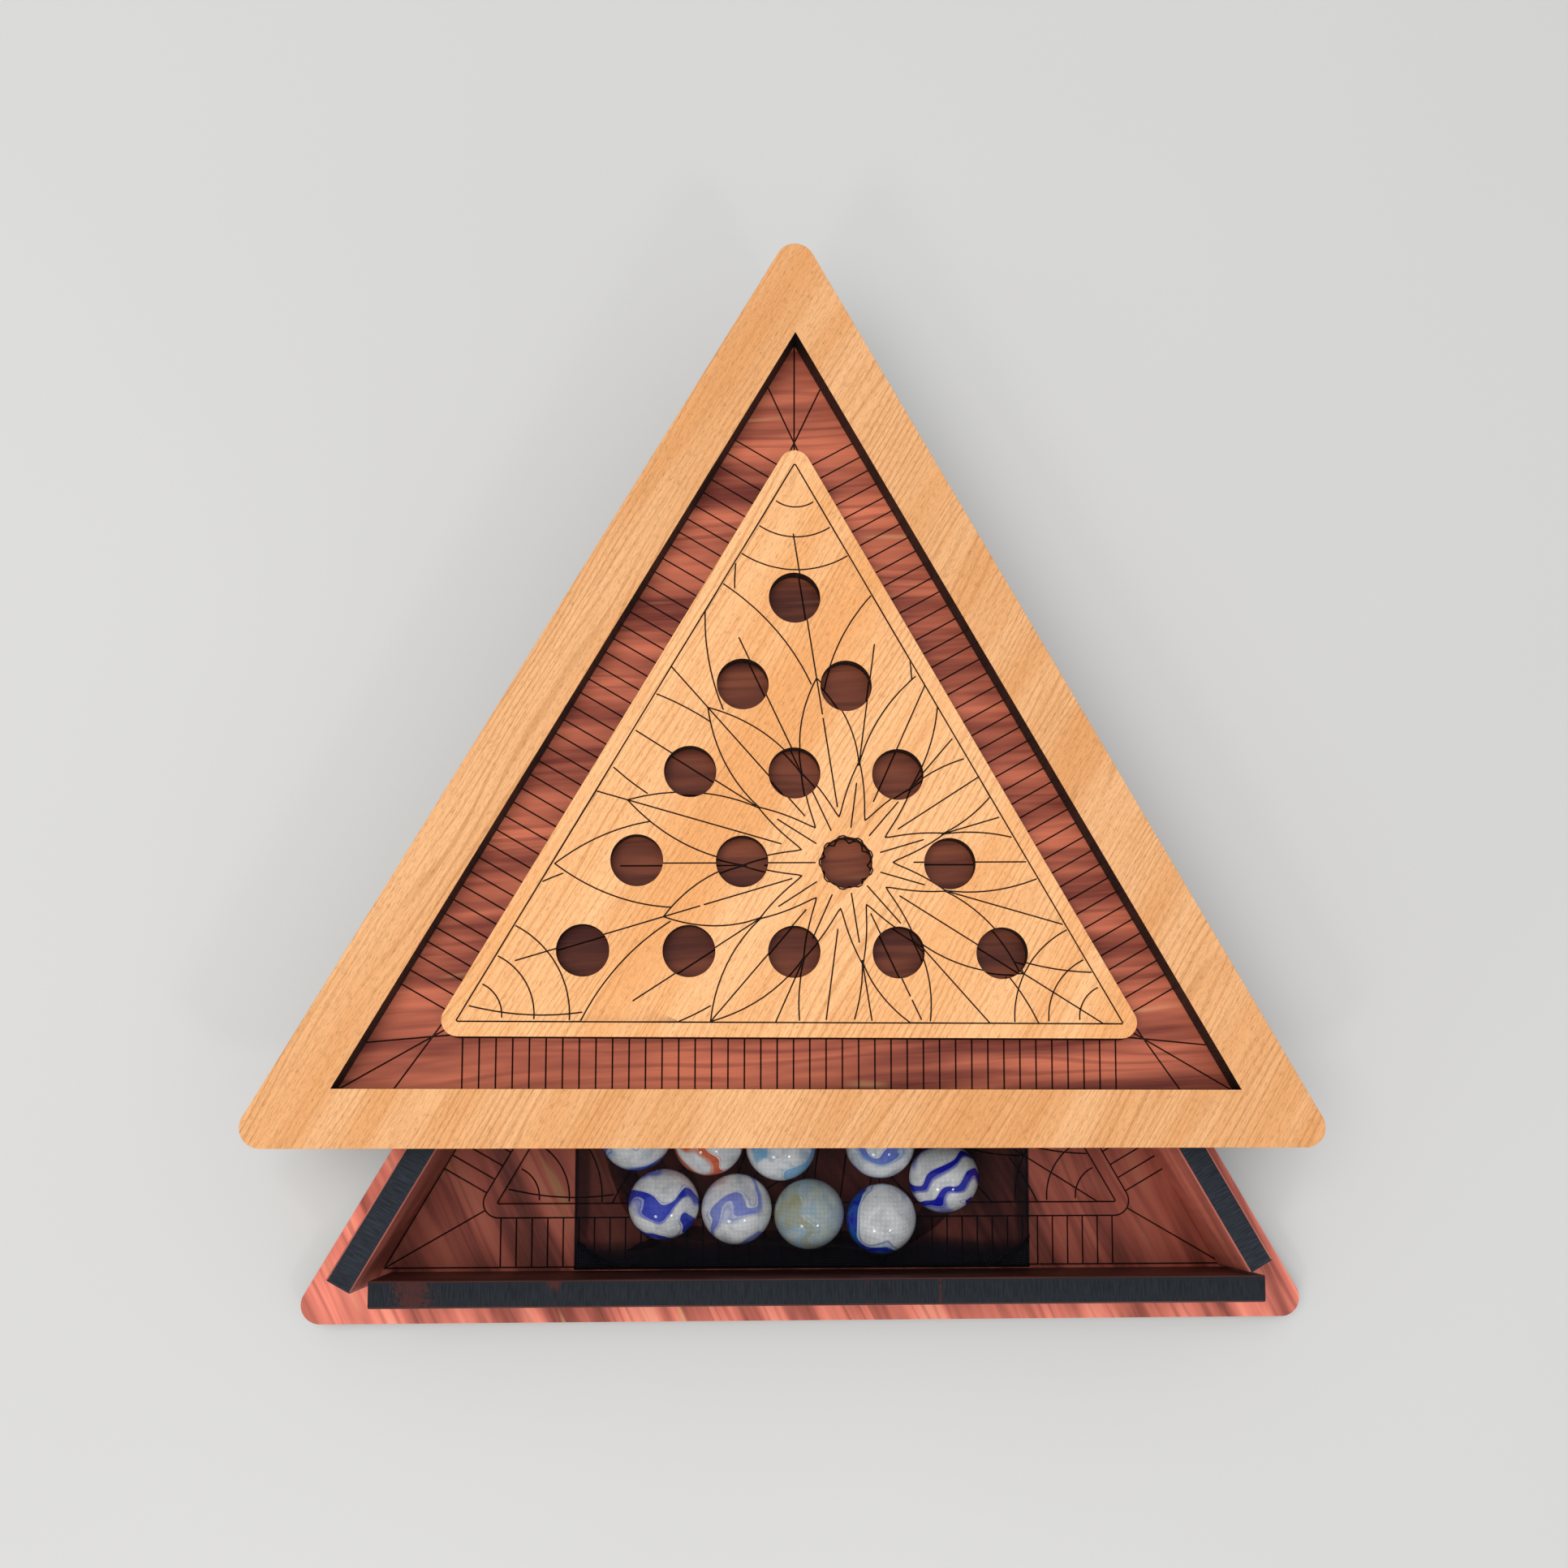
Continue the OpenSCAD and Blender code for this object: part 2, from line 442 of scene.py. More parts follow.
def plate(name, outline, holes, grooves, top, bottom, materials):
    """A flat laser-cut plate. Its top is the region inside outline and outside the holes, at
    z = top - chamfer (1 - edge distance / chamfer) - depth (1 - line distance / half width),
    each bracket held at 0 or more. Every engraved line is a V of three edges: its middle and both
    shoulders. The cut sides go straight down to a flat underside. Faces of the first material are the
    top and underside, and of the second the cut sides."""
    sizes = bpy.context.scene.solitaire_sizes
    half, depth, chamfer = sizes.groove_width / 2, sizes.groove_depth, sizes.chamfer
    points, edges, count = [], [], 0

    def solid(q):
        inside = outline.depth(q) > 0
        for h in holes:
            inside &= h.depth(q) < 0
        return inside

    def add(p, e):
        nonlocal count
        points.append(p)
        edges.append(e + count)
        count += len(p)

    for shape, sign in [(outline, 1)] + [(h, -1) for h in holes]:
        for d in (0, chamfer):
            loop = shape.inset(sign * d).loop()
            add(loop, closed(len(loop)))
    for g in grooves:
        t = np.gradient(g, axis=0)
        t /= np.maximum(np.linalg.norm(t, axis=1), 1e-12)[:, None]
        side = half * np.stack([-t[:, 1], t[:, 0]], -1)
        shoulder = np.concatenate([g + side, [g[-1] + half * t[-1]], (g - side)[::-1], [g[0] - half * t[0]]])
        add(shoulder, closed(len(shoulder)))
        add(g, chain(len(g)))
    p, tri, _ = triangulate(np.concatenate(points), np.concatenate(edges))
    tri = tri[solid(p[tri].mean(1))]
    used, tri = np.unique(tri, return_inverse=True)
    p, tri = p[used], tri.reshape(-1, 3)
    edge = outline.depth(p)
    for h in holes:
        edge = np.minimum(edge, -h.depth(p))
    drop = chamfer * np.clip(1 - edge / chamfer, 0, 1)
    if grooves:
        a = np.concatenate([g[:-1] for g in grooves])
        b = np.concatenate([g[1:] for g in grooves])
        drop = np.maximum(drop, depth * np.clip(1 - segments_near(p, a, b) / half, 0, 1))
    # a boundary edge belongs to one triangle
    e = np.concatenate([tri[:, [0, 1]], tri[:, [1, 2]], tri[:, [2, 0]]])
    key = np.sort(e, 1)
    _, first, uses = np.unique(key, axis=0, return_index=True, return_counts=True)
    rim = e[first[uses == 1]]
    ids = np.unique(rim)
    low = np.full(len(p), -1)
    low[ids] = len(p) + np.arange(len(ids))
    under, under_tri, _ = triangulate(p[ids], np.searchsorted(ids, rim))
    under_tri = under_tri[solid(under[under_tri].mean(1))][:, ::-1]
    xyz = np.concatenate([np.c_[p, top - drop], np.c_[p[ids], np.full(len(ids), bottom)]])
    quads = np.stack([rim[:, 1], rim[:, 0], low[rim[:, 0]], low[rim[:, 1]]], -1)
    if len(under) != len(ids):
        raise RuntimeError(f"{name}: the underside has {len(under)} points for {len(ids)} on its rim")
    slots = np.r_[np.zeros(len(tri)), np.ones(len(quads)), np.zeros(len(under_tri))]
    return new_object(name, xyz, [tri, quads, under_tri + len(p)], materials, slots, 40)


def strip(name, start, end, width, low, high, round_r, materials):
    """A wall: a rounded rectangle carried straight from start to end, whose cut top and underside lie
    below their planes by 0.06 - 0.03 sin(2.1 s) - 0.02 sin(5.3 s + 1), all in millimetres, with closed ends.
    The first material is the flat sides and worn corners, the second the cut top, underside and ends."""
    start, end = np.array(start), np.array(end)
    length = np.linalg.norm(end - start)
    along = (end - start) / length
    across = np.array([-along[1], along[0]])
    corner = np.radians(np.linspace(0, 90, 5))
    w, h = width / 2 - round_r, (high - low) / 2 - round_r
    prof = np.concatenate([
        np.array([sx * w, sz * h]) + round_r * unit(corner + q * math.pi / 2)
        for q, (sx, sz) in enumerate([(1, 1), (-1, 1), (-1, -1), (1, -1)])
    ])
    n = len(prof)
    ends = round_r * np.array([0.0, 0.3])
    body = np.linspace(round_r, length - round_r, int(length / (0.8 * MM)))
    s = np.concatenate([ends, body, length - ends[::-1]])
    # the profile draws in a little at both ends
    shrink = np.ones(len(s))
    shrink[[0, -1]] = 1 - 0.8 * round_r / (width / 2)
    shrink[[1, -2]] = 1 - 0.25 * round_r / (width / 2)
    wave = (0.03 * np.sin(2.1 * s / MM) + 0.02 * np.sin(5.3 * s / MM + 1) - 0.06) * MM
    x = prof[None, :, 0] * shrink[:, None]
    z = prof[None, :, 1] * (1 - (1 - shrink[:, None]) * width / (high - low))
    z = z + np.sign(prof[None, :, 1]) * (np.abs(prof[None, :, 1]) > h) * wave[:, None]
    xy = start + s[:, None, None] * along + x[..., None] * across
    points = np.concatenate([xy, (z + (high + low) / 2)[..., None]], -1).reshape(-1, 3)
    caps = [np.arange(n)[None, ::-1], (np.arange(n) + (len(s) - 1) * n)[None]]
    # span 4 of the profile is the top and span 14 the underside
    spans, steps = np.tile(np.arange(n), len(s) - 1), np.repeat(np.arange(len(s) - 1), n)
    cut = np.isin(spans, (4, 14)) | (steps < 2) | (steps > len(s) - 4)
    slots = np.r_[cut.astype(int), 1, 1]
    return new_object(name, points, [wrapped(len(s), n), *caps], materials, slots, 35)


def ball(name, centre, radius, seed, material):
    """A marble: a sphere whose radius varies as 1 - uneven + uneven sin(2 lon + seed) cos^2 lat, its poles
    closed."""
    uneven, rings_, around = 0.003, 40, 64
    lat = np.linspace(-math.pi / 2, math.pi / 2, rings_ + 1)[1:-1]
    lon = np.arange(around) * 2 * math.pi / around
    la, lo = np.meshgrid(lat, lon, indexing="ij")
    r = radius * (1 - uneven + uneven * np.sin(2 * lo + seed) * np.cos(la) ** 2)
    p = np.stack([r * np.cos(la) * np.cos(lo), r * np.cos(la) * np.sin(lo), r * np.sin(la)], -1)
    pole = radius * (1 - uneven)
    points = np.concatenate([p.reshape(-1, 3), [[0, 0, -pole], [0, 0, pole]]]) + centre
    j = np.arange(around)
    k = (j + 1) % around
    south, north = len(p) * around, len(p) * around + 1
    last = (len(lat) - 1) * around
    low = np.stack([k, j, np.full(around, south)], -1)
    high = np.stack([last + j, last + k, np.full(around, north)], -1)
    return new_object(name, points, [wrapped(len(lat), around), low, high], [material], smooth_angle=60)


# ---------------------------------------------------------------- materials


class Val:
    """One socket of a material, so that shader maths is written as ordinary expressions."""

    def __init__(self, paint, socket):
        self.paint, self.socket = paint, socket

    def math(self, operation, *others, **settings):
        return self.paint.node("ShaderNodeMath", {"operation": operation, **settings}, [self, *others])

    def __add__(self, other):
        return self.math("ADD", other)

    def __sub__(self, other):
        return self.math("SUBTRACT", other)

    def __rsub__(self, other):
        return self.paint.node("ShaderNodeMath", {"operation": "SUBTRACT"}, [other, self])

    def __mul__(self, other):
        return self.math("MULTIPLY", other)

    def __truediv__(self, other):
        return self.math("DIVIDE", other)

    __radd__, __rmul__ = __add__, __mul__

    def step(self, low, high):
        """0 below low, 1 above high, smooth between; low may be above high."""
        smooth = {"interpolation_type": "SMOOTHSTEP"}
        return self.paint.node("ShaderNodeMapRange", smooth, {0: self, 1: low, 2: high, 3: 0.0, 4: 1.0})

    def axis(self, k):
        """One of the three numbers of a vector."""
        return self.paint.node("ShaderNodeSeparateXYZ", {}, [self], k)


class Paint:
    """A material being made: its Principled shader and the nodes that feed it."""

    def __init__(self, name, **fixed):
        self.material = bpy.data.materials.new(name)
        self.material.use_nodes = True
        self.tree = self.material.node_tree
        self.shader = self.tree.nodes["Principled BSDF"]
        for socket, value in fixed.items():
            self.shader.inputs[socket.replace("_", " ")].default_value = value

    def node(self, kind, settings=None, inputs=(), output=0):
        """Any node: settings first, among them a ramp's stops, then the values or links of its sockets."""
        made = self.tree.nodes.new(kind)
        for key, value in (settings or {}).items():
            if key == "stops":
                ramp = made.color_ramp.elements
                while len(ramp) < len(value):
                    ramp.new(0.5)
                for e, (at, colour) in zip(ramp, value):
                    e.position, e.color = at, (*colour, 1)[:4]
            else:
                setattr(made, key, value)
        pairs = inputs.items() if isinstance(inputs, dict) else enumerate(inputs)
        for key, value in pairs:
            if isinstance(value, Val):
                self.tree.links.new(value.socket, made.inputs[key])
            else:
                made.inputs[key].default_value = value
        return Val(self, made.outputs[output])

    def feed(self, socket, value):
        self.tree.links.new(value.socket, self.shader.inputs[socket])
        return self

    def place(self, scale=(1, 1, 1), angle=0.0, centre=(0, 0, 0), turn=None):
        """Object coordinates in millimetres, from a centre, turned about Z by -angle, then scaled."""
        at = self.node("ShaderNodeTexCoord", {}, {}, 3)
        moved = self.node("ShaderNodeVectorMath", {"operation": "SUBTRACT"}, [at, centre])
        turn = turn or (0, 0, -math.radians(angle))
        turned = self.node("ShaderNodeMapping", {"vector_type": "POINT"}, {0: moved, 2: turn, 3: (1000,) * 3})
        return self.node("ShaderNodeVectorMath", {"operation": "MULTIPLY"}, [turned, scale])

    def noise(self, vector, scale=1.0, detail=2.0, rough=0.5, distortion=0.0):
        inputs = {"Vector": vector, "Scale": scale, "Detail": detail}
        return self.node("ShaderNodeTexNoise", {}, {**inputs, "Roughness": rough, "Distortion": distortion})

    def inside(self, centre, apothem):
        """1 inside an upright triangle of that apothem, in millimetres, and 0 outside."""
        at = self.place(centre=centre)
        x, y = at.axis(0) * (ROOT3 / 2), at.axis(1)
        out = (y * 0.5 + x).math("MAXIMUM", y * 0.5 - x).math("MAXIMUM", y * -1)
        return out.step(apothem + 0.4, apothem - 0.4)

    def mix(self, factor, a, b, blend="MIX"):
        a, b = ((*v, 1) if isinstance(v, tuple) and len(v) == 3 else v for v in (a, b))
        settings = {"data_type": "RGBA", "blend_type": blend}
        return self.node("ShaderNodeMix", settings, {0: factor, 6: a, 7: b}, 2)

    def bump(self, height, distance, strength=1.0):
        """A normal bumped by a height, whose full range is a distance in millimetres."""
        inputs = {"Strength": strength, "Distance": distance * MM, "Height": height}
        return self.node("ShaderNodeBump", {}, inputs)


def colour(name):
    """A colour of the panel, as red, green and blue."""
    return tuple(getattr(bpy.context.scene.solitaire_colours, name))


def groove_mask(paint, top):
    """How burnt a point of a plate's top is, from its depth below the surface: lines and chamfers go dark."""
    z = paint.place().axis(2)
    return (top / MM - z).step(0.055, 0.12)


def pale_wood(name, centre, top, painted_brightness=1.0):
    """Pale hardwood: grain lines every 2 mm or so that drift and fade, broad warm bands, short pores."""
    p = Paint(name, Roughness=0.5, Specular_IOR_Level=0.35)
    grain = 59.5
    drift = p.noise(p.place((0.006, 0.035, 0.05), grain, centre), 1, 2)
    at = p.place((1, 1, 1), grain, centre)
    y = at.axis(1) + drift * 26
    waver = p.noise(p.place((0.03, 0.5, 0.3), grain, centre), 1, 2)
    rings_ = (y * 4.1 + waver * 3.5).math("SINE")
    fade = p.noise(p.place((0.015, 0.12, 0.1), grain, centre), 1, 3)
    lines = rings_.step(0.35, 1.0) * fade.step(0.3, 0.62)
    fine = p.noise(p.place((0.05, 2.6, 1.2), grain, centre), 1, 3, 0.65)
    pores = p.noise(p.place((0.55, 7.5, 3.0), grain, centre), 1, 2).step(0.56, 0.74)
    broad = p.noise(p.place((0.008, 0.09, 0.05), grain, centre), 1, 2)
    speck = p.noise(p.place((2.2, 5.0, 3.0), grain, centre), 1, 2)
    # painted_brightness scales the whole wood lighter or darker; on the board it is painted light
    pale, dark = (tuple(min(1.0, v * painted_brightness) for v in colour(k)) for k in ("pale", "pale_line"))
    light = tuple(min(1.0, c * s) for c, s in zip(pale, (1.06, 1.12, 1.22)))
    warm = tuple(c * s for c, s in zip(pale, (0.93, 0.84, 0.72)))
    c = p.mix(broad.step(0.32, 0.68), light, warm)
    c = p.mix(fine.step(0.42, 0.72) * 0.5, c, dark)
    c = p.mix(lines * 0.6, c, dark)
    c = p.mix(pores * 0.34, c, tuple(v * 0.75 for v in dark))
    c = p.mix(speck.step(0.5, 0.75) * 0.16, c, light)
    burnt = groove_mask(p, top)
    p.feed("Base Color", p.mix(burnt, c, colour("char")))
    height = fine * 0.5 + pores * -0.9 + lines * -0.25
    p.feed("Normal", p.bump(height, 0.07))
    return p.feed("Roughness", p.mix(burnt, (0.47,) * 3, (0.8,) * 3)).material


def cedar_wood(name, centre, top, base, grain, sap=0.5, shade=1.0, inner=None, streaky=1.0):
    """Red cedar: close dark ring lines on a warm ground, purple-brown streaks and cream sapwood patches.
    inner is the apothem, in millimetres, of a triangle whose inside is painted darker as shade, and the
    colour that multiplies it there. shade scales the whole wood darker: painted shade."""
    p = Paint(name, Roughness=0.48, Specular_IOR_Level=0.4)
    drift = p.noise(p.place((0.009, 0.05, 0.05), grain, centre), 1, 2)
    at = p.place((1, 1, 1), grain, centre)
    y = at.axis(1) + drift * 22
    waver = p.noise(p.place((0.03, 0.35, 0.2), grain, centre), 1, 2)
    rings_ = (y * 2.1 + waver * 4.0).math("SINE")
    fade = p.noise(p.place((0.018, 0.14, 0.1), grain, centre), 1, 2)
    lines = rings_.step(0.2, 1.0) * fade.step(0.35, 0.62)
    streak = p.noise(p.place((0.012, 0.11, 0.06), grain, centre), 1, 3, 0.6)
    fine = p.noise(p.place((0.07, 2.4, 1.5), grain, centre), 1, 3, 0.6)
    pale = p.noise(p.place((0.02, 0.17, 0.1), grain, tuple(c + 0.37 for c in centre)), 1, 2)
    dark = tuple(v * shade for v in colour("cedar_dark"))
    base = tuple(v * shade for v in base)
    glow = tuple(min(1.0, v * s) for v, s in zip(base, (1.4, 1.45, 1.4)))
    c = p.mix(streak.step(0.6, 0.33) * streaky, base, dark)
    c = p.mix(streak.step(0.5, 0.75), c, glow)
    c = p.mix(lines * 0.45 * streaky, c, dark)
    c = p.mix(fine.step(0.45, 0.75) * 0.4, c, tuple(v * 0.7 for v in base))
    c = p.mix(pale.step(0.66, 0.74) * sap, c, tuple(v * shade for v in colour("sapwood")))
    # painted shade: inside the inner triangle the wood's colour is multiplied darker
    if inner:
        shaded = p.mix(1.0, c, inner[1], "MULTIPLY")
        c = p.mix(p.inside(centre, inner[0]), c, shaded)
    if top is not None:
        burnt = groove_mask(p, top)
        c = p.mix(burnt, c, tuple(v * 0.6 for v in colour("char")))
    p.feed("Base Color", c)
    return p.feed("Normal", p.bump(fine * 0.6 + lines * -0.3, 0.07)).material


def charred(name, base, angle=0, streaks=(2.2, 2.2, 0.15), brown=0.35, rough=0.62, marks=()):
    """A laser-cut edge: soot over burnt wood, finely streaked along the beam, worn brown in patches. marks
    are places along it, in millimetres, and how far each spreads: a start mark, or a worn end."""
    p = Paint(name, Roughness=rough, Specular_IOR_Level=0.35)
    fine = p.noise(p.place(streaks, angle), 1, 2, 0.6)
    patch = p.noise(p.place((0.05, 0.05, 0.12)), 1, 3, 0.65)
    dust = p.noise(p.place((1.3, 1.3, 1.3)), 1, 2)
    worn = tuple(0.6 * v for v in colour("cedar_dark"))
    c = p.mix(fine.step(0.3, 0.7), tuple(v * 0.5 for v in base), tuple(v * 1.6 for v in base))
    c = p.mix(patch.step(0.62, 0.72) * brown, c, worn)
    c = p.mix(dust.step(0.66, 0.8) * 0.25, c, tuple(min(1.0, v * 2.6 + 0.02) for v in base))
    for at, spread in marks:
        away = (p.place((1, 1, 1), angle).axis(0) - at).math("ABSOLUTE") + (dust - 0.5) * (2.5 * spread)
        c = p.mix(away.step(spread, 0.3 * spread) * 0.55, c, worn)
    p.feed("Base Color", c)
    return p.feed("Normal", p.bump(fine * 0.7 + dust * 0.3, 0.06)).material


def marble_glass(name, centre, radius, look):
    """Marble glass: ribbons where a sine wave across the glass, bent by slow noise, is near its crest. They
    have one crisp edge and one that fades through a second colour into the clouded ground."""
    ground, ribbon, second, waves, warp, width, seed, haze = look
    p = Paint(name, Roughness=0.05, IOR=1.5, Coat_Weight=0.5, Coat_Roughness=0.02)
    size = (MM / radius,) * 3
    turn = (0.9 * seed, 1.7 * seed, 2.3 * seed)
    at = p.place(size, centre=tuple(centre), turn=turn)
    bend = p.noise(at, 0.85, 1.2, 0.4, 0.25)
    drift = p.noise(p.place(size, centre=tuple(centre), turn=tuple(t + 1 for t in turn)), 1.3, 1, 0.4)
    cloud = p.noise(at, 2.2, 3, 0.6, 0.8)
    phase = at.axis(0) * waves + bend * warp
    wave = phase.math("SINE")
    ahead = (phase + 0.45).math("SINE")
    swell = drift * 0.35
    band = (wave + swell).step(1.12 - width, 1.2 - width)
    thin = (wave + swell).step(0.86 - width, 0.9 - width) * (wave + swell).step(1.02 - width, 0.96 - width)
    feather = (ahead + swell).step(0.95 - 2.2 * width, 1.25 - width)
    c = p.mix(cloud.step(0.35, 0.7), ground, tuple(v * 0.78 for v in ground))
    c = p.mix(cloud.step(0.42, 0.72) * haze, c, second)
    c = p.mix(feather * 0.7, c, second)
    tone = p.mix(cloud.step(0.3, 0.7), ribbon, tuple(0.6 * a + 0.4 * b for a, b in zip(ribbon, second)))
    c = p.mix(thin * 0.55, c, tone)
    return p.feed("Base Color", p.mix(band, c, tone)).material


def organza(name, pitch):
    """Sheer cloth: threads along and across the piece's own UV, which is in metres. The closeness attribute
    says how closed the cloth is, from single cloth to a folded seam; at the pouch's front fold it also
    carries painted shade."""
    p = Paint(name, Roughness=0.6, Sheen_Weight=0.03, Sheen_Roughness=0.4, Specular_IOR_Level=0.08)
    uv = p.node("ShaderNodeUVMap", {"uv_map": "cloth"})
    u, v = uv.axis(0), uv.axis(1)
    slub = p.noise(p.place((0.25, 0.25, 0.25)), 1, 2)
    turns = 2 * math.pi / pitch
    across = (u * turns + slub * 1.5).math("SINE") * 0.5 + 0.5
    along = (v * turns + slub * 1.5).math("SINE") * 0.5 + 0.5
    thread = across.math("MAXIMUM", along)
    closed_ = p.node("ShaderNodeAttribute", {"attribute_name": "closeness"}, {}, 2)
    drift = p.noise(p.place((0.12, 0.12, 0.12)), 1, 3)
    alpha = closed_ * (0.8 + thread * 0.3) * (0.85 + drift * 0.3)
    p.feed("Alpha", alpha.math("MINIMUM", 1.0))
    dark = colour("cloth")
    c = p.mix(thread.step(0.55, 1.0), tuple(0.5 * v_ for v_ in dark), tuple(2.2 * v_ for v_ in dark))
    p.feed("Base Color", c)
    return p.feed("Normal", p.bump(thread, 0.05, 0.6)).material


def floor_paint():
    """Plain pale floor, very slightly clouded."""
    p = Paint("pale_floor", Roughness=0.85)
    cloud = p.noise(p.place((0.004,) * 3), 1, 2)
    return p.feed("Base Color", p.mix(cloud, (0.60, 0.59, 0.57), (0.66, 0.65, 0.63))).material


# ---------------------------------------------------------------- the pouch


# how much longer the cut cloth is than the pouch as it lies, and how far its layers stand off the floor
SLACK_ACROSS, SLACK_ALONG = 1.13, 1.17
UPPER_LIFT, LOWER_LIFT = 0.45 * MM, 0.1 * MM


def draped_pouch(width, length, centre_x, front, floor, spheres, steps):
    """The pouch's upper cloth after it has fallen over the marbles: a grid of points linked by its
    own rest lengths, pulled down, kept outside every sphere and above the floor, with its sides and
    front edge held where they lie. Each step moves all points at once, then evens the links a few times."""
    nu, nv = 125, 79
    flat_u, flat_v = width * SLACK_ACROSS, length * SLACK_ALONG
    u, v = np.meshgrid(np.linspace(0, 1, nu), np.linspace(0, 1, nv), indexing="ij")
    # it starts as a tent just over the marbles, very slightly uneven
    lift = np.clip(np.minimum(np.minimum(u, 1 - u) * 14, v * 10), 0, 1)
    height = floor + 0.5 * MM + lift * 2.15 * spheres[0][1]
    p = np.stack([centre_x + (u - 0.5) * width, front + v * length, height], -1)
    rng = np.random.default_rng(5)
    p[..., 2] += lift * rng.normal(0, 0.15 * MM, p.shape[:2])
    held = np.zeros((nu, nv), bool)
    held[[0, -1]] = True
    held[:, 0] = True
    p[held, 2] = floor + UPPER_LIFT
    seams = p[held]
    old = p.copy()
    du, dv = flat_u / (nu - 1), flat_v / (nv - 1)
    links = [((1, 0), du, 1.0), ((0, 1), dv, 1.0), ((1, 1), math.hypot(du, dv), 0.35),
             ((1, -1), math.hypot(du, dv), 0.35), ((2, 0), 2 * du, 0.12), ((0, 2), 2 * dv, 0.12)]
    lo_x, hi_x = centre_x - width / 2, centre_x + width / 2
    kept_speed, fall, hurry = 0.93, 0.055 * MM, 1.6
    for _ in range(steps):
        new = p + (p - old) * kept_speed
        new[..., 2] -= fall
        old, p = p, new
        for _ in range(5):
            move, share = np.zeros_like(p), np.zeros(p.shape[:2])
            for (a, b), rest, stiff in links:
                i0, i1 = slice(0, nu - a), slice(a, nu)
                if b >= 0:
                    j0, j1 = slice(0, nv - b), slice(b, nv)
                else:
                    j0, j1 = slice(-b, nv), slice(0, nv + b)
                d = p[i1, j1] - p[i0, j0]
                far = np.linalg.norm(d, axis=-1)
                pull = (0.5 * stiff * (far - rest) / np.maximum(far, 1e-9))[..., None] * d
                move[i0, j0] += pull
                move[i1, j1] -= pull
                share[i0, j0] += stiff
                share[i1, j1] += stiff
            p = p + hurry * move / share[..., None]
            for centre, radius in spheres:
                d = p - centre
                far = np.linalg.norm(d, axis=-1)
                out = np.maximum(radius - far, 0) / np.maximum(far, 1e-9)
                p = p + d * out[..., None]
            p[..., 2] = np.maximum(p[..., 2], floor + UPPER_LIFT)
            p[..., 0] = np.clip(p[..., 0], lo_x, hi_x)
            p[..., 1] = np.clip(p[..., 1], front, front + length)
            p[held] = seams
    return p, u * flat_u, v * flat_v


def pouch_mesh(name, upper, u, v, floor, material):
    """The pouch: the draped upper cloth and a flat lower one, sharing their sides and front edge, open
    at the back. The lower cloth's points are the upper's edges, blended straight across."""
    nu, nv = u.shape
    s, t = np.linspace(0, 1, nu)[:, None, None], np.linspace(0, 1, nv)[None, :, None]
    across = (1 - s) * upper[:1] + s * upper[-1:]
    ahead = (1 - t) * upper[:, :1] + t * upper[:, -1:]
    corner = (1 - s) * (1 - t) * upper[0, 0] + s * (1 - t) * upper[-1, 0] + (1 - s) * t * upper[0, -1]
    lower = across + ahead - corner - s * t * upper[-1, -1]
    lower[..., 2] = floor + LOWER_LIFT + (UPPER_LIFT - LOWER_LIFT) * np.abs(s[..., 0] * 2 - 1) ** 8
    lower[:, 0], lower[0], lower[-1] = upper[:, 0], upper[0], upper[-1]
    points = np.concatenate([upper.reshape(-1, 3), lower.reshape(-1, 3)])
    top = np.arange(nu * nv).reshape(nu, nv)
    bottom = top + nu * nv
    bottom[:, 0], bottom[0], bottom[-1] = top[:, 0], top[0], top[-1]

    def quads(g):
        return np.stack([g[:-1, :-1], g[1:, :-1], g[1:, 1:], g[:-1, 1:]], -1).reshape(-1, 4)

    faces = np.concatenate([quads(top), quads(bottom)[:, ::-1]])
    used, faces = np.unique(faces, return_inverse=True)
    faces = faces.reshape(-1, 4)
    flat = np.concatenate([np.stack([u, v], -1).reshape(-1, 2)] * 2)[used]
    obj = new_object(name, points[used], [faces], [material], smooth_angle=180)
    mesh = obj.data
    layer = mesh.uv_layers.new(name="cloth")
    corner_of = np.empty(len(mesh.loops), np.int32)
    mesh.loops.foreach_get("vertex_index", corner_of)
    layer.data.foreach_set("uv", flat[corner_of].ravel().astype(np.float32))
    wide, long = u.max(), v.max()
    # the cloth closes up towards its side seams, its front fold and the hem at its mouth; at the front fold
    # the closing also stands for shade, painted as denser black cloth
    seam = np.minimum(flat[:, 0], wide - flat[:, 0])
    mouth = long - flat[:, 1]
    front_fold_and_shade = np.clip(1 - flat[:, 1] / (7.5 * MM), 0, 1) ** 0.5
    closeness = 0.29 + 0.16 * (seam < 3 * MM) + 0.3 * (seam < 0.8 * MM) + 0.6 * front_fold_and_shade
    closeness += 0.25 * (mouth < 9 * MM) + 0.2 * (mouth < 1.5 * MM)
    data = mesh.attributes.new("closeness", "FLOAT", "POINT").data
    data.foreach_set("value", np.minimum(closeness, 1.0).astype(np.float32))
    return obj


# ---------------------------------------------------------------- operators


def finish_piece(obj, body, slot, *nodes):
    """Rides the piece on its body and hides the CAD nodes that it stands for; its slot is not used."""
    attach(obj, body)
    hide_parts(*nodes)


def engraved_lines(board, opening, sizes, rays=None, opening_line=False):
    """The engraving that every panel shares, about the place of the board outline given. With rays it has
    the border too: its short lines and a fan of corner rays at those angles."""
    _, pitch = board_holes()
    edge = board.inset(sizes.border_set)
    lines = clipped(flower(board, pitch), lambda q: edge.depth(q) > 0)
    loops = [edge.loop(10)]
    if rays is not None:
        loops.append(board.loop(10))
        lines += border(opening, board, sizes.band_pitch, rays)
    if opening_line:
        loops.append(opening.loop())
    lines += [np.concatenate([loop, loop[:1]]) for loop in loops]
    return [thinned(piece) for g in lines for piece in unbroken(g)]


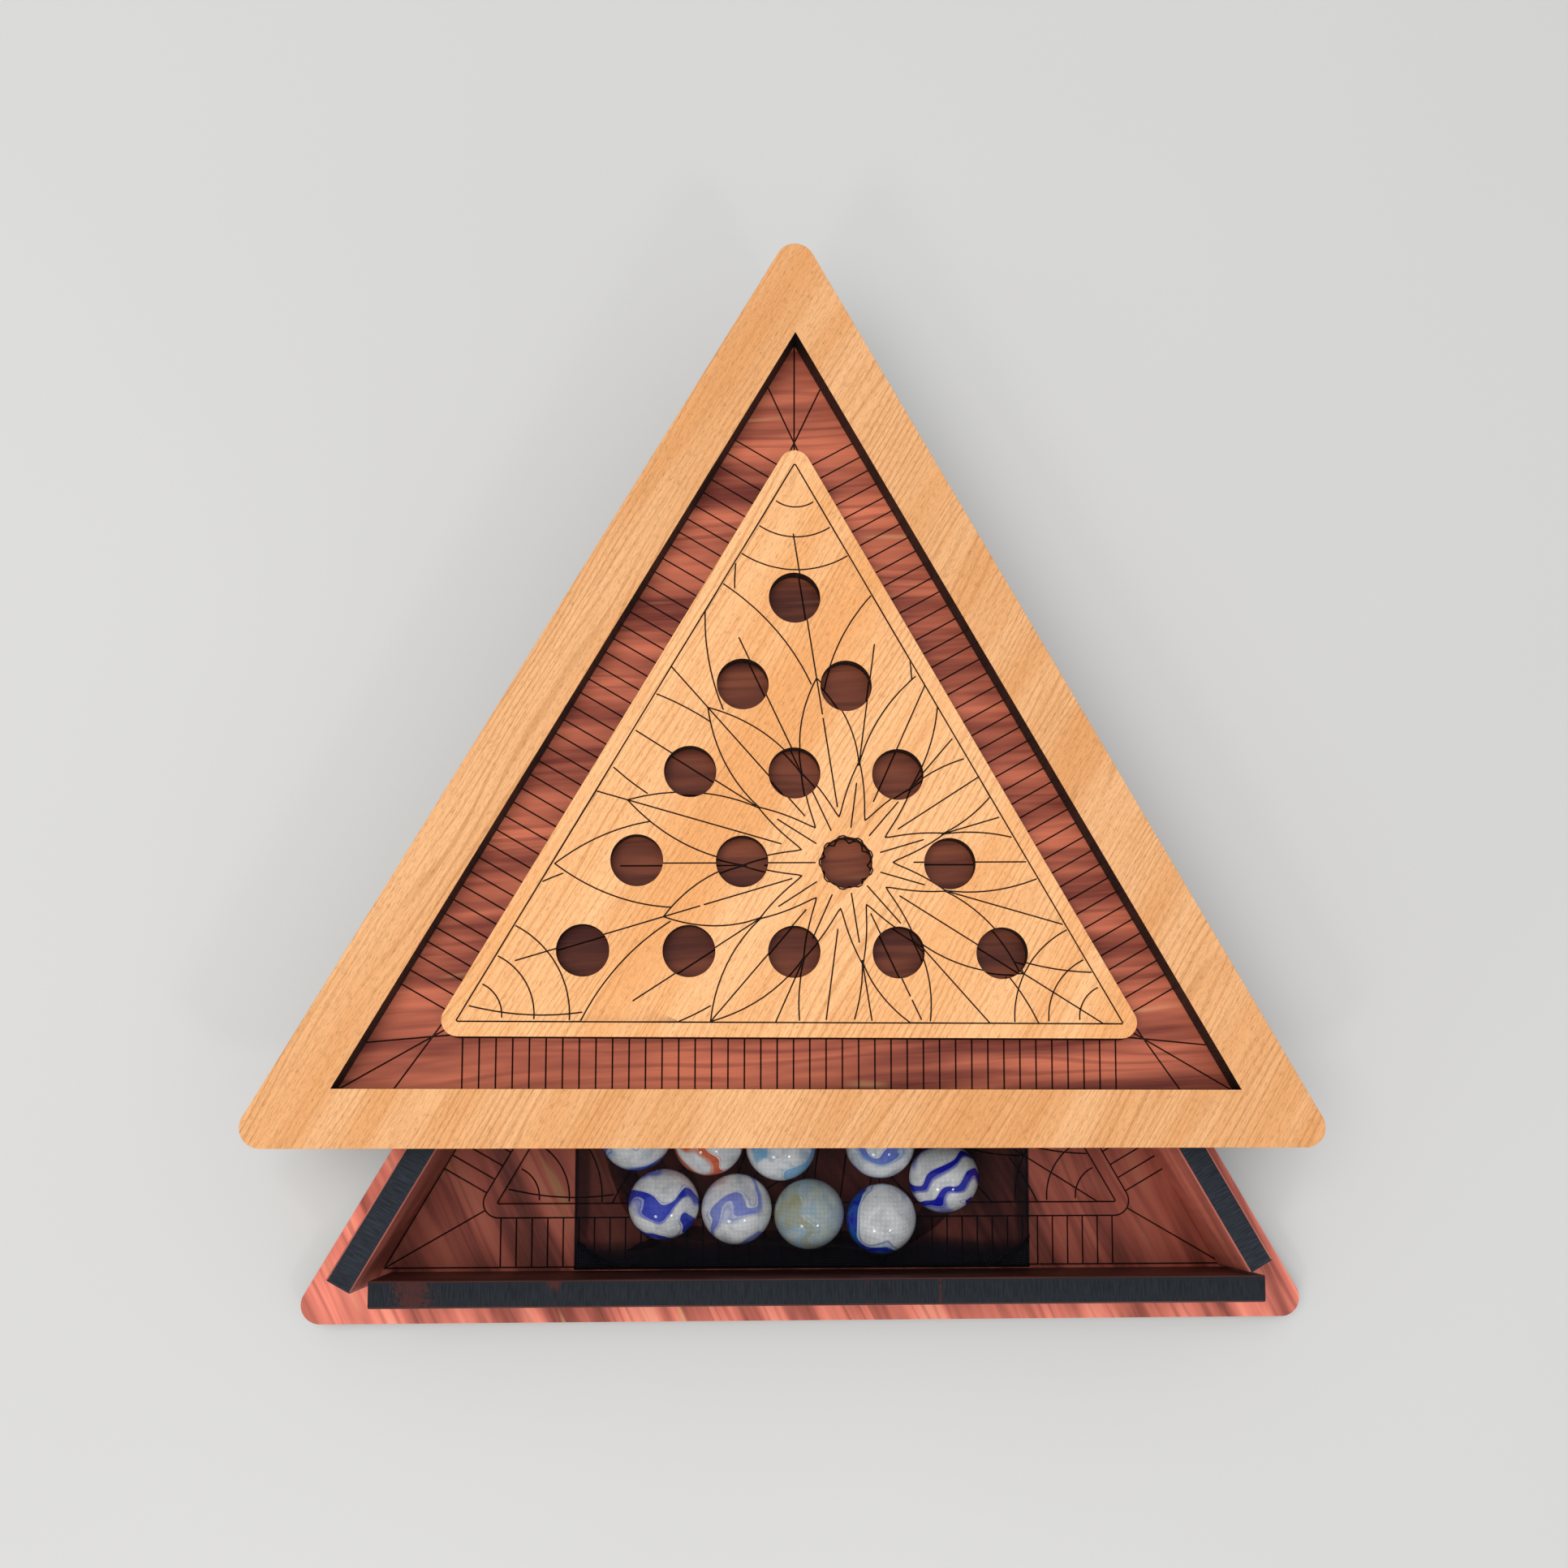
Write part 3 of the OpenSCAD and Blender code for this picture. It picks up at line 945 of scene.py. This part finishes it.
def add_plate(name, kind, body, node, holes, lines, wood):
    """A plate in a node's outline and between its levels, with burnt edges."""
    lo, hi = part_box(node)
    burnt = charred(f"burnt_edge_{kind}", colour("char"))
    obj = plate(name, triangle_of(node), holes, lines, hi[2], lo[2], [wood, burnt])
    finish_piece(obj, body, SLOTS[node], node)


class SOLITAIRE_OT_base(bpy.types.Operator):
    """Makes the box's engraved bottom panel"""

    bl_idname = "solitaire.base"
    bl_label = "Bottom panel"

    def execute(self, context):
        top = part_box("base_panel")[1][2]
        base = triangle_of("base_panel")
        board, opening = triangle_of("play_board"), frame_opening()
        board.centre, opening.centre = base.centre, base.centre
        lines = engraved_lines(board, opening, context.scene.solitaire_sizes, (), True)
        # painted shade: the floor inside the walls is painted darker, standing in for the shade of the walls
        # and the lid above
        painted_shade_inside = (57, (0.32, 0.262, 0.236))
        wood = cedar_wood("cedar_box", (*base.centre, top), top, colour("box_cedar"), 116, 0.8,
                          inner=painted_shade_inside, streaky=0.85)
        add_plate("bottom_panel", "box", "box", "base_panel", [], lines, wood)
        return {"FINISHED"}


class SOLITAIRE_OT_walls(bpy.types.Operator):
    """Makes the three cedar walls with their burnt top edges"""

    bl_idname = "solitaire.walls"
    bl_label = "Walls"

    def execute(self, context):
        # each wall's turn, the painted shade on its sides and how much lighter its cut top is painted
        for node, angle, shade, top_lightness in (
            ("wall_front", 0, 0.09, 1.15),
            ("wall_right", 120, 0.7, 1.9),
            ("wall_left", 240, 0.5, 1.9),
        ):
            p = vertices(node)
            along, across = unit(math.radians(angle)), unit(math.radians(angle + 90))
            s, w = p[:, :2] @ along, p[:, :2] @ across
            mid = (w.min() + w.max()) / 2 * across
            # painted shade: each wall's cedar is darkened by its own factor, most on the front wall, whose
            # inner face lies in shadow
            face = cedar_wood(f"cedar_{node}", (*mid, p[:, 2].mean()), None, colour("box_cedar"), angle, 0.5,
                              shade, streaky=0.6)
            # the front wall has the laser's start mark and a worn left end
            marks = ((26.5, 0.35), (s.min() / MM + 9, 4.5)) if angle == 0 else ()
            # the cut top of the left and right walls is painted lighter than the front wall's
            top = tuple(v * top_lightness for v in colour("soot"))
            soot = charred(f"soot_{node}", top, angle, (3.4, 0.25, 0.25), 0.7, marks=marks)
            obj = strip(node.replace("wall", "cedar_wall"), mid + s.min() * along, mid + s.max() * along,
                        w.max() - w.min(), p[:, 2].min(), p[:, 2].max(), 0.35 * MM, [face, soot])
            finish_piece(obj, "box", "cedar_wall", node)
        return {"FINISHED"}


class SOLITAIRE_OT_lid_panel(bpy.types.Operator):
    """Makes the lid's engraved cedar panel"""

    bl_idname = "solitaire.lid_panel"
    bl_label = "Lid panel"

    def execute(self, context):
        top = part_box("lid_panel")[1][2]
        panel = triangle_of("lid_panel")
        board = triangle_of("play_board")
        lines = engraved_lines(board, frame_opening(), context.scene.solitaire_sizes, (0.5, -0.5))
        # painted shade: the panel under the board, seen only through its holes, is painted darker for the
        # shade down in the holes
        shaded_under_board = (board.side / (2 * ROOT3) / MM - 2, (0.35, 0.342, 0.288))
        wood = cedar_wood("cedar_lid", (*panel.centre, top), top, colour("cedar"), 4, 0.45, inner=shaded_under_board)
        add_plate("lid_cedar", "lid", "lid", "lid_panel", [], lines, wood)
        return {"FINISHED"}


class SOLITAIRE_OT_lid_frame(bpy.types.Operator):
    """Makes the raised frame round the lid"""

    bl_idname = "solitaire.lid_frame"
    bl_label = "Lid frame"

    def execute(self, context):
        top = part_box("lid_frame")[1][2]
        wood = pale_wood("pale_frame", (*triangle_of("lid_frame").centre, top), top, 0.97)
        add_plate("frame_ring", "frame", "lid", "lid_frame", [frame_opening()], [], wood)
        return {"FINISHED"}


class SOLITAIRE_OT_board(bpy.types.Operator):
    """Makes the engraved playing board with its fifteen holes"""

    bl_idname = "solitaire.board"
    bl_label = "Playing board"

    def execute(self, context):
        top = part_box("play_board")[1][2]
        board = triangle_of("play_board")
        holes, _ = board_holes()
        lines = engraved_lines(board, frame_opening(), context.scene.solitaire_sizes)
        # painted light: the board's wood is painted lighter than the frame's, though both are one wood, to
        # offset the shade of the raised frame around it
        wood = pale_wood("pale_board", (*board.centre, top + 0.05), top, 1.12)
        add_plate("holed_board", "board", "lid", "play_board", holes, lines, wood)
        return {"FINISHED"}


WHITE, GREY = linear("#FAFBFB"), linear("#C9D3CC")
BLUE, DEEP, PERI = linear("#2A39C0"), linear("#1116B0"), linear("#5F6FD6")
CYAN, SKY, ORANGE = linear("#36A9E0"), linear("#9CC4E8"), linear("#E8541F")
# ground, ribbon, second colour, waves across, bend of the waves, ribbon width, seed, haze
LOOKS = [
    (WHITE, BLUE, PERI, 7.0, 13, 0.33, 3.44, 0.1),
    (WHITE, linear("#8490E0"), linear("#B4BCE2"), 6.0, 14, 0.24, 3.75, 0.25),
    (GREY, linear("#B0AE86"), SKY, 3.0, 7, 0.15, 9.54, 0.45),
    (WHITE, DEEP, CYAN, 2.4, 4, 0.62, 3.0, 0.05),
    (WHITE, BLUE, SKY, 6.0, 12, 0.30, 6.05, 0.15),
    (WHITE, ORANGE, linear("#E98A5A"), 6.0, 12, 0.26, 7.73, 0.0),
    (WHITE, SKY, CYAN, 4.0, 11, 0.30, 13.52, 0.3),
    (WHITE, PERI, SKY, 5.0, 11, 0.26, 8.35, 0.35),
    (WHITE, DEEP, BLUE, 9.0, 12, 0.42, 7.29, 0.0),
    (WHITE, ORANGE, SKY, 6.0, 9, 0.30, 10.6, 0.1),
    (WHITE, BLUE, CYAN, 6.0, 12, 0.35, 11.9, 0.2),
    (GREY, PERI, SKY, 4.0, 9, 0.30, 12.4, 0.4),
    (WHITE, DEEP, PERI, 7.0, 12, 0.35, 13.7, 0.1),
    (WHITE, CYAN, BLUE, 5.0, 11, 0.32, 14.2, 0.2),
]


class SOLITAIRE_OT_marbles(bpy.types.Operator):
    """Makes the swirled glass marbles"""

    bl_idname = "solitaire.marbles"
    bl_label = "Marbles"

    def execute(self, context):
        for k, node in enumerate(MARBLES):
            lo, hi = (np.array(v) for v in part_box(node))
            centre, radius = (lo + hi) / 2, (hi[2] - lo[2]) / 2
            look = LOOKS[k % len(LOOKS)]
            glass = marble_glass(node.replace("marble", "glass"), centre, radius, look)
            obj = ball(node.replace("marble", "swirl_marble"), centre, radius, look[5], glass)
            finish_piece(obj, node, SLOTS[node], node)
        return {"FINISHED"}


class SOLITAIRE_OT_pouch(bpy.types.Operator):
    """Drapes the organza pouch over the marbles"""

    bl_idname = "solitaire.pouch"
    bl_label = "Pouch"

    def execute(self, context):
        lo, hi = (np.array(v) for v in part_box("marble_bag"))
        spheres, clear = [], 0.2 * MM
        for node in MARBLES:
            a, b = (np.array(v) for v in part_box(node))
            spheres.append(((a + b) / 2, (b[2] - a[2]) / 2 + clear))
        width, length = hi[0] - lo[0], hi[1] - lo[1]
        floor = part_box("base_panel")[1][2]
        steps = 220
        upper, u, v = draped_pouch(width, length, (lo[0] + hi[0]) / 2, lo[1], floor, spheres, steps)
        cloth = organza("organza", context.scene.solitaire_sizes.weave_pitch)
        obj = pouch_mesh("organza_pouch", upper, u, v, floor, cloth)
        finish_piece(obj, "pouch", "organza", "marble_bag")
        float(2 * v.max())
        return {"FINISHED"}


class SOLITAIRE_OT_stage(bpy.types.Operator):
    """Makes the floor, the lights and the camera"""

    bl_idname = "solitaire.stage"
    bl_label = "Stage"

    def execute(self, context):
        scene = context.scene
        half = 8.0
        points = half * np.array([[-1, -1, 0], [1, -1, 0], [1, 1, 0], [-1, 1, 0]])
        new_object("floor", points, [np.array([[0, 1, 2, 3]])], [floor_paint()])
        world = bpy.data.worlds.new("studio")
        world.use_nodes = True
        sky = world.node_tree.nodes["Background"].inputs
        sky["Color"].default_value = (0.80, 0.84, 0.90, 1)
        sky["Strength"].default_value = 0.62
        scene.world = world
        lid = triangle_of("lid_panel").centre
        for name, place, across, power, tint in (
            ("overhead", (-0.35, -0.05, 1.45), 1.3, 15.0, (1.0, 0.98, 0.95)),
            ("window_left", (-0.55, -0.85, 0.95), 0.22, 1.6, (1.0, 0.98, 0.95)),
            ("window_right", (0.50, -0.75, 0.90), 0.16, 1.0, (0.95, 0.98, 1.0)),
        ):
            lamp = bpy.data.lights.new(name, "AREA")
            lamp.shape, lamp.size, lamp.energy, lamp.color = "DISK", across, power, tint
            obj = bpy.data.objects.new(name, lamp)
            obj.location = place
            obj.visible_glossy = name != "overhead"
            aim = Vector((*lid, 0.03)) - Vector(place)
            obj.rotation_euler = aim.to_track_quat("-Z", "Y").to_euler()
            scene.collection.objects.link(obj)
        # the camera looks almost straight down from above the lid, its axis a little in front of the middle
        cam = bpy.data.cameras.new("camera")
        cam.sensor_width, cam.lens = 36.0, 35.32
        cam.shift_x, cam.shift_y = -0.0267, 0.1402
        cam.clip_start, cam.clip_end = 0.01, 20
        obj = bpy.data.objects.new("camera", cam)
        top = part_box("lid_frame")[1][2]
        eye = Vector((lid[0] - 0.0146, lid[1] - 0.0644, top + 0.3201))
        ahead = Vector((0.0655, 0.0854, -0.9942)).normalized()
        up = Vector((-0.0047, 0.9963, 0.0852))
        right = ahead.cross(up).normalized()
        up = right.cross(ahead)
        turn = Matrix((right, up, -ahead)).transposed()
        obj.matrix_world = Matrix.Translation(eye) @ turn.to_4x4()
        scene.collection.objects.link(obj)
        scene.camera = obj
        scene.view_settings.view_transform = "Standard"
        return {"FINISHED"}


class SOLITAIRE_PT_panel(bpy.types.Panel):
    """Lists the pieces"""

    bl_idname = "SOLITAIRE_PT_panel"
    bl_label = "Marble Solitaire"
    bl_space_type = "VIEW_3D"
    bl_region_type = "UI"
    bl_category = "Solitaire"

    def draw(self, context):
        for owner in (context.scene.solitaire_sizes, context.scene.solitaire_colours):
            for key in owner.__annotations__:
                self.layout.prop(owner, key)
        for operator in OPERATORS:
            self.layout.operator(operator.bl_idname)


OPERATORS = (
    SOLITAIRE_OT_stage,
    SOLITAIRE_OT_base,
    SOLITAIRE_OT_walls,
    SOLITAIRE_OT_lid_panel,
    SOLITAIRE_OT_lid_frame,
    SOLITAIRE_OT_board,
    SOLITAIRE_OT_marbles,
    SOLITAIRE_OT_pouch,
)
CLASSES = (SolitaireSizes, SolitaireColours, *OPERATORS, SOLITAIRE_PT_panel)


def register():
    for c in CLASSES:
        bpy.utils.register_class(c)
    bpy.types.Scene.solitaire_sizes = bpy.props.PointerProperty(type=SolitaireSizes)
    bpy.types.Scene.solitaire_colours = bpy.props.PointerProperty(type=SolitaireColours)


def unregister():
    del bpy.types.Scene.solitaire_colours
    del bpy.types.Scene.solitaire_sizes
    for c in reversed(CLASSES):
        bpy.utils.unregister_class(c)


def main():
    register()
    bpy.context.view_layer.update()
    for operator in OPERATORS:
        group, name = operator.bl_idname.split(".")
        getattr(getattr(bpy.ops, group), name)()


if __name__ == "__main__":
    main()
